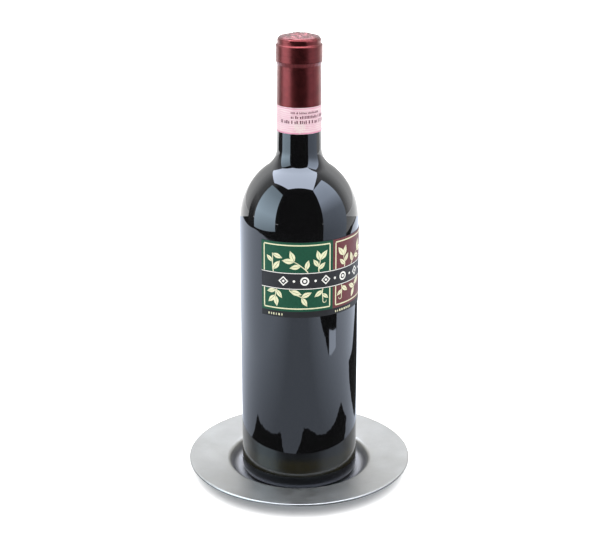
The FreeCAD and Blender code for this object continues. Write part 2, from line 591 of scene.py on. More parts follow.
class Effects:
    """Shader node groups that several finishes share, built once each."""

    def __init__(self) -> None:
        """Builds the groups."""
        self.mottle = self._mottle()
        self.turning = self._turning()

    @staticmethod
    def _new(name: str, inputs: dict[str, float]) -> tuple[Nodes, bpy.types.Node, bpy.types.Node]:
        """Makes an empty group that takes a Place and more numbers and gives one Value.

        Args:
            name: the group's name.
            inputs: the numbers it takes, and what each starts as.

        Returns:
            Its nodes, its input node and its output node.
        """
        tree = bpy.data.node_groups.new(name, "ShaderNodeTree")
        tree.interface.new_socket("Place", in_out="INPUT", socket_type="NodeSocketVector")
        for label, start in inputs.items():
            socket = tree.interface.new_socket(label, in_out="INPUT", socket_type="NodeSocketFloat")
            socket.default_value = start
        tree.interface.new_socket("Value", in_out="OUTPUT", socket_type="NodeSocketFloat")
        nodes = Nodes(tree)
        return nodes, nodes.add("NodeGroupInput"), nodes.add("NodeGroupOutput")

    def _mottle(self) -> bpy.types.NodeTree:
        """Cloudy variation between two values, from three-dimensional noise.

        Returns:
            The group.
        """
        inputs = {"Scale": 100.0, "Detail": 3.0, "Low": 0.0, "High": 1.0, "Contrast": 0.25}
        nodes, start, end = self._new("mottle", inputs)
        noise = nodes.add("ShaderNodeTexNoise")
        spread = nodes.add("ShaderNodeMapRange")
        for source, target in (("Place", "Vector"), ("Scale", "Scale"), ("Detail", "Detail")):
            nodes.link(start.outputs[source], noise.inputs[target])
        nodes.link(noise.outputs["Fac"], spread.inputs["Value"])
        nodes.link(nodes.math("SUBTRACT", 0.5, start.outputs["Contrast"]), spread.inputs["From Min"])
        nodes.link(nodes.math("ADD", 0.5, start.outputs["Contrast"]), spread.inputs["From Max"])
        nodes.link(start.outputs["Low"], spread.inputs["To Min"])
        nodes.link(start.outputs["High"], spread.inputs["To Max"])
        nodes.link(spread.outputs["Result"], end.inputs["Value"])
        return nodes.tree

    def _turning(self) -> bpy.types.NodeTree:
        """Fine rings round the Z axis, as a lathe tool or a polishing wheel leaves them.

        Returns:
            The group.
        """
        nodes, start, end = self._new("turning", {"Rings": 2000.0, "Wander": 1.0})
        x, y, _ = nodes.split(start.outputs["Place"])
        place = nodes.add("ShaderNodeCombineXYZ")
        noise = nodes.add("ShaderNodeTexNoise")
        noise.inputs["Scale"].default_value = 1.0
        noise.inputs["Detail"].default_value = 4.0
        nodes.link(nodes.math("MULTIPLY", nodes.length(x, y), start.outputs["Rings"]), place.inputs["X"])
        turn = nodes.math("ARCTAN2", x, y)
        nodes.link(nodes.math("MULTIPLY", turn, start.outputs["Wander"]), place.inputs["Y"])
        nodes.link(place.outputs[0], noise.inputs["Vector"])
        nodes.link(noise.outputs["Fac"], end.inputs["Value"])
        return nodes.tree


@dataclass(frozen=True)
class Pewter:
    """Soft grey pewter: a satin, cloudy rim, with a painted highlight tone on its outer edge and painted
    shade in its well.
    """

    base: Colour = (0.297, 0.291, 0.272)
    dark: Colour = (0.247, 0.242, 0.226)
    # painted highlight tone: the outer edge's own colour, set to tune how bright its highlight looks; here
    # close to the rim's darker grey
    edge_highlight_tone: Colour = (0.25, 0.246, 0.232)
    pits: Colour = (0.20, 0.20, 0.19)
    # painted shade: a darker, cooler grey for the well floor and cove, where the bottle shades them
    well_shade: Colour = (0.24, 0.24, 0.25)
    edge_from: float = 72.7 * MM
    edge_to: float = 73.4 * MM

    def make(self, effects: Effects) -> bpy.types.Material:
        """Builds the material.

        Args:
            effects: the shared node groups.

        Returns:
            The material.
        """
        shader = Shader("pewter_satin")
        radius, height = shader.radius_and_height()
        clouds = shader.group(effects.mottle, Scale=45.0, Detail=4.0, Contrast=0.22).outputs[0]
        specks = shader.group(effects.mottle, Scale=700.0, Detail=3.0, Contrast=0.3).outputs[0]
        rings = shader.group(effects.turning, Rings=2600.0, Wander=3.0).outputs[0]
        # The outer edge band takes the painted highlight tone and a slightly smoother finish.
        edge = shader.ramp(radius, (self.edge_from, self.edge_to), (0.0, 1.0))
        body = shader.blend(clouds, self.dark, self.base)
        pitted = shader.blend(shader.math("MULTIPLY", specks, 0.16), body, self.pits)
        edge_toned = shader.blend(edge, pitted, self.edge_highlight_tone)
        # Painted shade in the well: low and inside pick out the floor and cove, fading out between 4 and 10
        # mm high and between 44 and 47.5 mm out, and mix in the painted shade colour.
        low = shader.ramp(height, (4.0 * MM, 10.0 * MM), (1.0, 0.0))
        inside = shader.ramp(radius, (44.0 * MM, 47.5 * MM), (1.0, 0.0))
        shader.feed(shader.blend(shader.math("MULTIPLY", low, inside), edge_toned, self.well_shade), "Base Color")
        rough = shader.group(effects.mottle, Scale=120.0, Detail=4.0, Low=0.38, High=0.46).outputs[0]
        shader.feed(shader.math("SUBTRACT", rough, shader.math("MULTIPLY", edge, 0.05)), "Roughness")
        relief = shader.math("ADD", shader.math("MULTIPLY", specks, 0.5), rings)
        shader.raise_by(relief, 0.02 * MM, 0.7)
        shader.set(Metallic=1.0)
        return shader.material


@dataclass(frozen=True)
class DarkGlass:
    """Nearly black olive glass, full of red wine, with the slight ripple of a blown wall, and an olive tint
    painted low on the body where the coaster rim's reflection falls.
    """

    full: Colour = (0.0014, 0.0014, 0.0016)
    # the glass's own olive, shown only in the band of the painted reflection tint
    base: Colour = (0.0080, 0.0062, 0.0003)
    sheen: Colour = (0.92, 0.955, 1.0)
    painted_band_top_from: float = 22 * MM
    painted_band_top_to: float = 27 * MM

    def make(self, effects: Effects) -> bpy.types.Material:
        """Builds the material.

        Args:
            effects: the shared node groups.

        Returns:
            The material.
        """
        shader = Shader("dark_bottle_glass")
        _, height = shader.radius_and_height()
        # Painted reflection: the olive tint shows only between about 13 and 25 mm above the table, where the
        # coaster rim is mirrored; elsewhere the glass is near black.
        foot = shader.ramp(height, (self.painted_band_top_from, self.painted_band_top_to), (1.0, 0.0))
        heel = shader.ramp(height, (12.5 * MM, 14.5 * MM), (0.0, 1.0))
        shader.feed(shader.blend(shader.math("MULTIPLY", foot, heel), self.full, self.base), "Base Color")
        smear = shader.group(effects.mottle, Scale=60.0, Detail=3.0, Low=0.015, High=0.04).outputs[0]
        stipple = shader.math("MULTIPLY", shader.math("SUBTRACT", 1.0, heel), 0.30)
        shader.feed(shader.math("ADD", smear, stipple), "Roughness")
        ripple = shader.group(effects.mottle, Scale=160.0, Detail=2.0, Contrast=0.4).outputs[0]
        swell = shader.group(effects.mottle, Scale=35.0, Detail=1.0, Contrast=0.4).outputs[0]
        shader.raise_by(shader.math("ADD", shader.math("MULTIPLY", ripple, 0.12), swell), 0.05 * MM, 1.0)
        shader.set(IOR=1.54, Specular_Tint=(*self.sheen, 1.0))
        return shader.material


@dataclass(frozen=True)
class Foil:
    """Lacquered dark red metal foil with a fine pressed grain."""

    colour: Colour = (0.112, 0.0175, 0.0170)
    deep: Colour = (0.074, 0.0115, 0.0112)

    def make(
        self, effects: Effects, name: str = "red_foil", rough: float = 0.36, depth: float = 0.03,
    ) -> bpy.types.Material:
        """Builds the material.

        Args:
            effects: the shared node groups.
            name: the material's name.
            rough: its middle roughness.
            depth: how deep its grain is, in millimetres.

        Returns:
            The material.
        """
        shader = Shader(name)
        clouds = shader.group(effects.mottle, Scale=180.0, Detail=3.0).outputs[0]
        shader.feed(shader.blend(clouds, self.deep, self.colour), "Base Color")
        satin = shader.group(effects.mottle, Scale=400.0, Detail=3.0, Low=rough - 0.05, High=rough + 0.05)
        shader.feed(satin.outputs[0], "Roughness")
        grain = shader.group(effects.mottle, Scale=1400.0, Detail=2.0, Contrast=0.4).outputs[0]
        dents = shader.group(effects.mottle, Scale=130.0, Detail=2.0, Contrast=0.4).outputs[0]
        shader.raise_by(shader.math("ADD", shader.math("MULTIPLY", grain, 0.25), dents), depth * MM, 1.0)
        shader.set(Metallic=1.0, Coat_Weight=0.15, Coat_Roughness=0.28)
        return shader.material


@dataclass(frozen=True)
class Ink:
    """Printed paper of one colour, its fibres just showing.

    Args:
        name: the material's name.
        colour: the ink's colour.
        rough: the roughness.
        shade: how dark its mottling goes, as a share of the colour.
    """

    name: str
    colour: Colour
    rough: float = 0.5
    shade: float = 0.86

    def make(self, effects: Effects) -> bpy.types.Material:
        """Builds the material.

        Args:
            effects: the shared node groups.

        Returns:
            The material.
        """
        shader = Shader(self.name)
        fibres = shader.group(effects.mottle, Scale=900.0, Detail=5.0, Contrast=0.25).outputs[0]
        dark = tuple(part * self.shade for part in self.colour)
        shader.feed(shader.blend(fibres, dark, self.colour), "Base Color")
        gloss = shader.group(effects.mottle, Scale=300.0, Low=self.rough - 0.06, High=self.rough + 0.06)
        shader.feed(gloss.outputs[0], "Roughness")
        shader.raise_by(fibres, 0.012 * MM, 0.8)
        shader.set(IOR=1.45, Specular_IOR_Level=0.2)
        return shader.material


@dataclass(frozen=True)
class BandPaper:
    """Pale pink security paper with fine crossing waves."""

    pale: Colour = (0.50, 0.40, 0.41)
    pink: Colour = (0.40, 0.215, 0.26)

    def make(self, effects: Effects) -> bpy.types.Material:
        """Builds the material.

        Args:
            effects: the shared node groups.

        Returns:
            The material.
        """
        shader = Shader("pink_band_paper")
        waves = shader.add("ShaderNodeTexWave", wave_type="BANDS", bands_direction="Z")
        waves.inputs["Scale"].default_value = 260.0
        waves.inputs["Distortion"].default_value = 7.0
        waves.inputs["Detail"].default_value = 2.0
        waves.inputs["Detail Scale"].default_value = 0.6
        shader.link(shader.place, waves.inputs["Vector"])
        clouds = shader.group(effects.mottle, Scale=140.0, Detail=2.0).outputs[0]
        share = shader.math("MULTIPLY", shader.math("ADD", waves.outputs["Fac"], clouds), 0.5)
        shader.feed(shader.blend(share, self.pale, self.pink), "Base Color")
        fibres = shader.group(effects.mottle, Scale=900.0, Detail=5.0).outputs[0]
        shader.feed(shader.ramp(fibres, (0.0, 1.0), (0.5, 0.62)), "Roughness")
        shader.raise_by(fibres, 0.015 * MM, 0.8)
        shader.set(IOR=1.45)
        return shader.material


@dataclass(frozen=True)
class CorkBark:
    """Natural cork with dark pores and streaks."""

    light: Colour = (0.55, 0.36, 0.20)
    dark: Colour = (0.16, 0.085, 0.04)

    def make(self, effects: Effects) -> bpy.types.Material:
        """Builds the material.

        Args:
            effects: the shared node groups.

        Returns:
            The material.
        """
        shader = Shader("natural_cork")
        clouds = shader.group(effects.mottle, Scale=220.0, Detail=5.0, Contrast=0.2).outputs[0]
        pores = shader.group(effects.mottle, Scale=520.0, Detail=2.0, Contrast=0.12).outputs[0]
        holes = shader.ramp(pores, (0.75, 1.0), (0.0, 1.0))
        toned = shader.blend(clouds, (0.43, 0.26, 0.135), self.light)
        shader.feed(shader.blend(holes, toned, self.dark), "Base Color")
        shader.feed(shader.ramp(clouds, (0.0, 1.0), (0.7, 0.9)), "Roughness")
        shader.raise_by(shader.math("SUBTRACT", clouds, holes), 0.25 * MM, 0.8)
        return shader.material


@dataclass(frozen=True)
class RedWine:
    """Deep red wine, seen only through thick glass or an open neck."""

    colour: Colour = (0.06, 0.002, 0.006)

    def make(self, effects: Effects) -> bpy.types.Material:
        """Builds the material.

        Args:
            effects: the shared node groups.

        Returns:
            The material.
        """
        shader = Shader("red_wine")
        clouds = shader.group(effects.mottle, Scale=30.0, Detail=1.0).outputs[0]
        dark = tuple(part * 0.6 for part in self.colour)
        shader.feed(shader.blend(clouds, dark, self.colour), "Base Color")
        shader.set(Roughness=0.05, IOR=1.34)
        return shader.material


def dress(
    piece: bpy.types.Object, material: bpy.types.Material, body: Body, slot: Slot,
    stands_for: Iterable[str] = (),
) -> bpy.types.Object:
    """Gives a piece its material and its body, and hides the CAD nodes it stands for.

    Args:
        piece: the piece.
        material: its material.
        body: the body it rides on.
        slot: its material slot; not used.
        stands_for: the CAD nodes that it replaces.

    Returns:
        The same piece.
    """
    piece.data.materials.clear()
    piece.data.materials.append(material)
    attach(piece, body.value)
    for node in stands_for:
        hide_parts(node)
    LOG.info("%s rides on %s, %d faces", piece.name, body.value, len(piece.data.polygons))
    return piece


# ---------------------------------------------------------------- the pieces


@dataclass
class Coaster:
    """The spun pewter coaster: a wide, nearly flat rim, a rounded lip and a coved well.

    Lengths are in millimetres, heights from the table.
    """

    rim_radius: float
    rim_top: float
    rim_under: float = 11.1
    edge_round: float = 0.8
    lip_radius: float = 46.8
    lip_height: float = 10.5
    lip_round: float = 3.2
    well_radius: float = 43.0
    floor: float = 3.0
    cove: float = 5.0
    foot: Point = (34.0, 39.0)
    nicks: int = 15
    nick_depth: float = 0.17
    nick_turn: float = 0.013
    nick_drop: float = 0.06
    worn_edge: float = 1.2
    seed: int = 7

    def build(self) -> bpy.types.Object:
        """Spins the plate and gives its edge the small nicks of use.

        Returns:
            The finished plate.
        """
        outline = Outline([
            (0, 1), (self.foot[0], 1), (self.foot[0], 0, 0.4), (self.foot[1], 0, 0.4), (self.foot[1], 1),
            (44.2, 1, 6.5), (self.lip_radius + 1.3, 8.6, 1.4),
            (self.rim_radius, self.rim_under, self.edge_round),
            (self.rim_radius, self.rim_top, self.edge_round),
            (self.lip_radius, self.lip_height, self.lip_round),
            (self.well_radius, self.floor, self.cove), (0, self.floor),
        ], arc_step=8.0, line_step=2.5)
        bm = turned(outline, steps=420)
        draw = random.Random(self.seed)
        marks = [(draw.uniform(0, math.tau), draw.uniform(0.5, 1.0)) for _ in range(self.nicks)]
        sculpt(bm, lambda point: self._nicked(point, marks))
        return new_piece("coaster_turned", bm, sharp=50.0)

    def _nicked(self, point: Vector, marks: Sequence[Point]) -> Vector:
        """Moves a point of the outer edge in where a nick is.

        Args:
            point: the vertex's place.
            marks: (azimuth, depth as a share) of each nick.

        Returns:
            Its new place.
        """
        radius = math.hypot(point.x, point.y) / MM
        if radius < self.rim_radius - self.worn_edge:
            return point
        turn = azimuth(point)
        depth = sum(share * bump(turn_between(turn, place), self.nick_turn) for place, share in marks)
        share = 1 - self.nick_depth * depth / radius
        return Vector((point.x * share, point.y * share, point.z - self.nick_drop * MM * depth))


@dataclass
class Bottle:
    """The high-shouldered wine bottle, its cork, and the surface that its papers lie on.

    Lengths are in millimetres, heights from the bottle's foot.
    """

    foot: float
    radius: float = 38.0
    neck_base: Point = (14.4, 213.3)
    neck_top: Point = (13.3, 275.7)
    ring_radius: float = 14.2
    ring_top: float = 284.9
    mouth: Point = (13.2, 289.7)
    bore: float = 9.25
    cork_radius: float = 9.2
    cork_length: float = 45.0
    cork_recess: float = 0.8
    pores: int = 60
    pore_depth: float = 0.25
    seed: int = 11

    def neck_radius(self, height: float) -> float:
        """The neck's outer radius at a height over the bottle's foot."""
        share = (height - self.neck_base[1]) / (self.neck_top[1] - self.neck_base[1])
        return self.neck_base[0] + (self.neck_top[0] - self.neck_base[0]) * share

    def raised(self, corners: Sequence[tuple[float, ...]]) -> list[tuple[float, ...]]:
        """Corners over the bottle's foot, lifted to where the bottle stands."""
        return [(corner[0], corner[1] + self.foot, *corner[2:]) for corner in corners]

    def build(self) -> bpy.types.Object:
        """Spins the glass wall, outside and inside in one closed skin.

        Returns:
            The bottle.
        """
        outside = [
            (0, 22), (9, 22, 8), (28.5, 0, 1.6), (self.radius, 0, 5), (self.radius, 196.2, 41.5),
            (*self.neck_base, 14.6), self.neck_top, (self.ring_radius, self.neck_top[1], 0.7),
            (self.ring_radius, self.ring_top, 0.7), (self.mouth[0], self.ring_top + 1), (*self.mouth, 1.3),
        ]
        inside = [
            (self.bore, self.mouth[1], 0.5), (self.bore, 233), (10.6, 229), (10.6, 212.8, 17),
            (35.7, 194.7, 39), (35.7, 7, 6), (27.5, 7), (11, 27), (0, 27),
        ]
        return new_piece("bottle_wall", turned(Outline(self.raised(outside + inside)), steps=256))

    def build_cork(self) -> bpy.types.Object:
        """Spins the cork, its two ends softened, and presses small hollows into it.

        Returns:
            The cork.
        """
        top = self.mouth[1] - self.cork_recess
        bottom = top - self.cork_length
        outline = Outline(self.raised([
            (0, bottom), (self.cork_radius, bottom, 0.7), (self.cork_radius, top, 0.7), (0, top),
        ]), arc_step=15.0, line_step=1.5)
        bm = turned(outline, steps=96)
        draw = random.Random(self.seed)
        pits = [
            (draw.uniform(0, math.tau), draw.uniform(bottom, top) + self.foot, draw.uniform(0.4, 1.1))
            for _ in range(self.pores)
        ]
        sculpt(bm, lambda point: self._pitted(point, pits))
        return new_piece("cork_plug", bm)

    def _pitted(self, point: Vector, pits: Sequence[tuple[float, float, float]]) -> Vector:
        """Moves a point of the cork's side in where a pore is.

        Args:
            point: the vertex's place.
            pits: (azimuth, height, size) of each pore.

        Returns:
            Its new place.
        """
        radius = math.hypot(point.x, point.y) / MM
        if radius < self.cork_radius - 0.5:
            return point
        turn = azimuth(point)
        depth = 0.0
        for place, height, size in pits:
            near = bump(turn_between(turn, place) * radius, size)
            depth += self.pore_depth * near * bump(point.z / MM - height, 1.6 * size)
        share = 1 - min(depth, 0.4) / radius
        return Vector((point.x * share, point.y * share, point.z))


@dataclass
class Capsule:
    """The foil capsule: the skirt that stays on the neck, the cap over the ring, and its disc.

    Lengths are in millimetres, heights from the bottle's foot. A rolled line is its height, its
    half width and its depth as a share of the deepest line's.
    """

    bottle: Bottle
    foil: float = 0.2
    gap: float = 0.12
    hem: float = 248.7
    crease: float = 273.3
    cut: float = 275.6
    cut_width: float = 0.15
    fold_radius: float = 9.0
    disc_radius: float = 12.6
    disc_thick: float = 0.35
    dome: float = 1.1
    seam_height: float = 0.10
    skirt_roll: float = 0.09
    pleat: float = 0.035
    wrinkle: float = 0.07
    cap_roll: float = 0.06
    fold_out: float = 0.50
    fold_in: float = 0.09
    skirt_rolls: tuple[tuple[float, float, float], ...] = (
        (272.4, 0.7, 1.0), (270.4, 0.6, 0.7), (268.2, 0.6, 0.5),
    )
    cap_rolls: tuple[tuple[float, float, float], ...] = ((279.3, 0.45, 1.0), (282.2, 0.4, 0.7))
    seam_turn: float = math.radians(38)
    fold_turn: float = math.radians(-25)

    def build_skirt(self) -> bpy.types.Object:
        """Spins the skirt, with its overlap seam and the light creases under the ring.

        Returns:
            The skirt.
        """
        hem = self.bottle.neck_radius(self.hem) + self.gap
        crease = self.bottle.neck_radius(self.crease) + self.gap
        flare = self.bottle.ring_radius + self.gap
        top = self.cut - self.cut_width
        outline = Outline(self.bottle.raised([
            (hem, self.hem), (hem + self.foil, self.hem), (crease + self.foil, self.crease),
            (flare + self.foil, top), (flare, top), (crease, self.crease + self.foil),
        ]), closed=True, line_step=0.5)
        bm = turned(outline, steps=256)
        sculpt(bm, self._creased)
        return new_piece("capsule_skirt", bm, sharp=60.0)

    def _creased(self, point: Vector) -> Vector:
        """Raises the seam and rolls the rings that the spinning wheels left under the ring.

        Args:
            point: the vertex's place.

        Returns:
            Its new place.
        """
        height = point.z / MM - self.bottle.foot
        radius = math.hypot(point.x, point.y) / MM
        turn = azimuth(point)
        side = turn_between(turn, self.seam_turn) * radius
        seam = 0.0
        if abs(side) < 14:
            seam = self.seam_height / (1 + math.exp(-side / 0.12)) * bump(max(side, 0.0), 5.0)
        rolled = self._rolled(height, self.skirt_rolls)
        wave = 0.5 + 0.5 * math.sin(3 * turn + 1.0)
        pleats = bump(height - self.cut + 1.0, 1.6) * math.sin(34 * turn + 2 * math.sin(3 * turn))
        rolls = self.skirt_roll * rolled * (0.4 + 0.6 * wave)
        share = 1 + (seam - rolls + self.pleat * pleats) / radius
        return Vector((point.x * share, point.y * share, point.z))

    @staticmethod
    def _rolled(height: float, rolls: Iterable[tuple[float, float, float]]) -> float:
        """How deep the rolled lines are at a height, as a share of the deepest."""
        return sum(depth * bump(height - middle, width) for middle, width, depth in rolls)

    def build_cap(self) -> bpy.types.Object:
        """Spins the cap, wrinkles its turned-in edge and pinches a small fold into it.

        Returns:
            The cap.
        """
        ring = self.bottle.ring_radius + self.gap
        mouth, top = self.bottle.mouth[0] + self.gap, self.bottle.mouth[1] + self.gap
        step = self.bottle.ring_top + self.gap
        foil = self.foil
        outline = Outline(self.bottle.raised([
            (ring, self.cut), (ring + foil, self.cut), (ring + foil, step + foil, 0.7),
            (mouth + foil, step + 1 + foil), (mouth + foil, top + foil, 1.9), (self.fold_radius, top + foil),
            (self.fold_radius, top), (mouth, top, 1.7), (mouth, step + 1), (ring, step, 0.7),
        ]), closed=True, arc_step=10.0, line_step=0.45)
        bm = turned(outline, steps=288)
        sculpt(bm, self._wrinkled)
        return new_piece("capsule_cap_foil", bm, sharp=60.0)

    def _wrinkled(self, point: Vector) -> Vector:
        """Moves a point of the cap by its wrinkles, its rolled lines and its fold.

        Args:
            point: the vertex's place.

        Returns:
            Its new place.
        """
        height = point.z / MM - self.bottle.foot
        radius = math.hypot(point.x, point.y) / MM
        turn = azimuth(point)
        edge = bump(height - self.bottle.mouth[1], 2.0)
        wrinkle = math.sin(23 * turn + 1.7 * math.sin(5 * turn)) * (0.6 + 0.4 * math.sin(2 * turn + 0.5))
        rolled = self._rolled(height, self.cap_rolls)
        near = bump(height - 289.0, 1.3)
        fold = bump(turn_between(turn, self.fold_turn), 0.13) * near
        trough = bump(turn_between(turn, self.fold_turn + 0.26), 0.10) * near
        out = self.wrinkle * edge * wrinkle - self.cap_roll * rolled
        out += self.fold_out * fold - self.fold_in * trough
        share = 1 + out / radius
        return Vector((point.x * share, point.y * share, point.z - 0.04 * MM * edge * abs(wrinkle)))

    def build_disc(self) -> bpy.types.Object:
        """Spins the disc and presses a beaded ring and a plain rosette into its top.

        Returns:
            The disc.
        """
        seat = self.bottle.mouth[1] + self.gap + self.foil
        outline = Outline(self.bottle.raised([
            (0, seat), (self.disc_radius, seat), (self.disc_radius, seat + 0.2, 0.08),
            (self.disc_radius - 1.4, seat + self.disc_thick), (0, seat + self.disc_thick),
        ]), arc_step=30.0, line_step=0.3)
        bm = turned(outline, steps=256)
        sculpt(bm, lambda point: self._embossed(point, seat + self.bottle.foot))
        return new_piece("capsule_disc_foil", bm, sharp=70.0)

    def _embossed(self, point: Vector, seat: float) -> Vector:
        """Turns the disc's edge down over the fold and raises its top by the pressed pattern.

        Args:
            point: the vertex's place.
            seat: the height of the disc's underside, from the table.

        Returns:
            Its new place.
        """
        radius = math.hypot(point.x, point.y) / MM
        turn = azimuth(point)
        over = max(0.0, radius - (self.disc_radius - 1.0))
        fold = 0.35 * bump(turn_between(turn, self.fold_turn), 0.16) * bump(radius - 12.2, 1.3)
        height = fold - 0.26 * over ** 2
        if point.z > (seat + 0.15) * MM:
            share = radius / self.disc_radius
            beads = bump(radius - 10.2, 0.55) * max(0.0, math.cos(36 * turn)) ** 0.7
            petals = bump(radius - 4.6, 2.2) * max(0.0, math.cos(4 * turn)) ** 0.6
            line = 0.16 * bump(radius - 8.2, 0.35)
            pressed = 0.26 * beads + 0.34 * petals + 0.30 * bump(radius, 1.3) + line
            buckle = 0.20 * math.sin(3 * turn + radius / 2.1) + 0.13 * math.sin(7 * turn - radius)
            creased = 0.10 * math.sin(1.1 * radius + 2.3 * math.sin(5 * turn)) + buckle * min(1.0, radius / 4)
            height += self.dome * (1 - share ** 2) + (pressed + creased) * (1 - share ** 8)
        return Vector((point.x, point.y, point.z + height * MM))


@dataclass(frozen=True)
class Row:
    """One row of short printed bars.

    Args:
        low: its height over the band's lower edge.
        height: the bars' height.
        start: where the row starts, from the band's front.
        end: where it ends.
    """

    low: float
    height: float
    start: float
    end: float


@dataclass
class NeckBand:
    """The pink paper band round the neck, with a plain rosette and rows of short bars."""

    bottle: Bottle
    bottom: float = 232.2
    top: float = 248.6
    paper: float = 0.15
    gap: float = 0.03
    turn: float = math.radians(22)
    rows: tuple[Row, ...] = ()
    seed: int = 3

    def build(self) -> bpy.types.Object:
        """Spins the band itself.

        Returns:
            The band.
        """
        lower = self.bottle.neck_radius(self.bottom) + self.gap
        upper = self.bottle.neck_radius(self.top) + self.gap
        outline = Outline(self.bottle.raised([
            (lower, self.bottom), (lower + self.paper, self.bottom), (upper + self.paper, self.top),
            (upper, self.top),
        ]), closed=True, line_step=1.0)
        return new_piece("neck_band_paper", turned(outline, steps=192), sharp=60.0)

    def wrap(self) -> Wrap:
        """How flat print lies on the band."""
        foot = self.bottle.foot
        return Wrap(lambda height: self.bottle.neck_radius(height - foot), self.turn, self.bottom + foot)

    def build_edge(self) -> bpy.types.Object:
        """The brighter printed lines along the band's two edges.

        Returns:
            The lines.
        """
        sheet = Sheet("neck_band_edge_lines", self.gap + self.paper + 0.005, 0.012)
        around = math.pi * self.bottle.neck_radius(self.bottom) * 0.995
        sheet.rectangle((-around, around), (0.15, 0.75))
        sheet.rectangle((-around, around), (self.top - self.bottom - 0.9, self.top - self.bottom - 0.55))
        return sheet.wrapped(self.wrap())

    def build_rosette(self) -> bpy.types.Object:
        """Pale rosettes of thin rings and leaves, in front and behind.

        Returns:
            The rosettes.
        """
        sheet = Sheet("neck_band_rosette", self.gap + self.paper + 0.005, 0.012, step=0.5)
        half = math.pi * self.bottle.neck_radius(self.bottom)
        for middle in (-5.0, -5.0 + half * 0.98):
            centre = Vector((middle, 4.0, 0))
            for size in (0.8, 1.7):
                sheet.ring((centre.x, centre.y), size, 0.4, sides=36)
            for k in range(10):
                turn = math.tau * (k + 0.5) / 10
                sheet.leaf(centre + Vector((math.cos(turn), math.sin(turn), 0)) * 1.9, turn, 2.0, 1.1)
        return sheet.wrapped(self.wrap())

    def build_bars(self) -> bpy.types.Object:
        """Rows of short bars in the place of small print.

        Returns:
            The bars.
        """
        sheet = Sheet("neck_band_bars", self.gap + self.paper + 0.022, 0.012, step=0.6)
        draw = random.Random(self.seed)
        for row in self.rows:
            x = row.start
            while x < row.end:
                width = row.height * draw.uniform(0.24, 0.48)
                rise = row.height * draw.choice((0.78, 1.0, 1.0))
                sheet.rectangle((x, x + width), (row.low, row.low + rise))
                x += width + row.height * draw.choice((0.22, 0.22, 0.22, 0.6))
        return sheet.wrapped(self.wrap())


@dataclass(frozen=True)
class Sprig:
    """One printed sprig of laurel, drawn from the band's edge.

    Args:
        x: where it leaves the band, from the label's middle towards its right end.
        reach: how far its stem rises or hangs.
        lean: how far the stem's tip goes sideways.
        leaves: for each leaf, its place as a share of the stem, its turn from the stem in
            degrees, and its length.
        curl: the radius of a curl at the stem's tip, or 0.
    """

    x: float
    reach: float
    lean: float
    leaves: tuple[tuple[float, float, float], ...]
    curl: float = 0.0

    def draw(self, sheet: Sheet, y: float, way: int, side: int) -> None:
        """Prints the sprig.

        Args:
            sheet: the print it goes on.
            y: the band's edge.
            way: 1 if it stands up, -1 if it hangs.
            side: 1 to draw it right of the middle, -1 for its mirror image on the left.
        """
        def stem(share: float) -> Vector:
            """The stem's middle at a share of its length."""
            sway = self.lean * share ** 1.5 + 0.35 * math.sin(5 * share)
            return Vector((side * (self.x + sway), y + way * self.reach * share, 0))

        length = math.hypot(self.reach, self.lean)
        sheet.line(stem, length, lambda share: 0.62 - 0.2 * share)
        for share, turn, size in self.leaves:
            along = stem(min(share + 0.02, 1.0)) - stem(max(share - 0.02, 0.0))
            heading = math.atan2(along.y, along.x) + math.radians(turn) * side * way
            sheet.leaf(stem(share), heading, size, size * 0.44)
        if self.curl:
            tip = stem(1.0)
            centre = tip + Vector((-side * self.curl, 0, 0))

            def hook(share: float) -> Vector:
                """The curl's middle at a share of its length."""
                angle = way * math.pi * 1.1 * share
                return centre + Vector((side * math.cos(angle), math.sin(angle), 0)) * self.curl

            sheet.line(hook, 3.5 * self.curl, lambda share: 0.5 - 0.25 * share)


STANDING = (
    Sprig(9.6, 8.0, -0.5, ((0.20, 50, 6.2), (0.42, -44, 6.2), (0.97, 34, 7.6), (0.90, -24, 7.2))),
    Sprig(16.6, 7.2, 9.2, ((0.22, 60, 6.8), (0.60, -50, 7.2), (0.97, 42, 7.6), (0.97, -22, 7.8))),
    Sprig(38.4, 12.0, 1.0, ((0.12, 46, 7.6), (0.52, -46, 5.8), (0.97, 118, 7.0))),
)
HANGING = (
    Sprig(7.0, 8.2, 0.4, ((0.14, -42, 6.6), (0.40, 48, 5.4)), 1.2),
    Sprig(28.0, 5.2, -7.4, ((0.16, 40, 7.8), (0.95, 50, 7.2), (0.97, -34, 7.0))),
    Sprig(36.4, 4.6, 1.2, ((0.10, 60, 6.6), (0.95, 30, 7.2), (0.92, -26, 7.0), (0.14, -52, 6.4))),
)


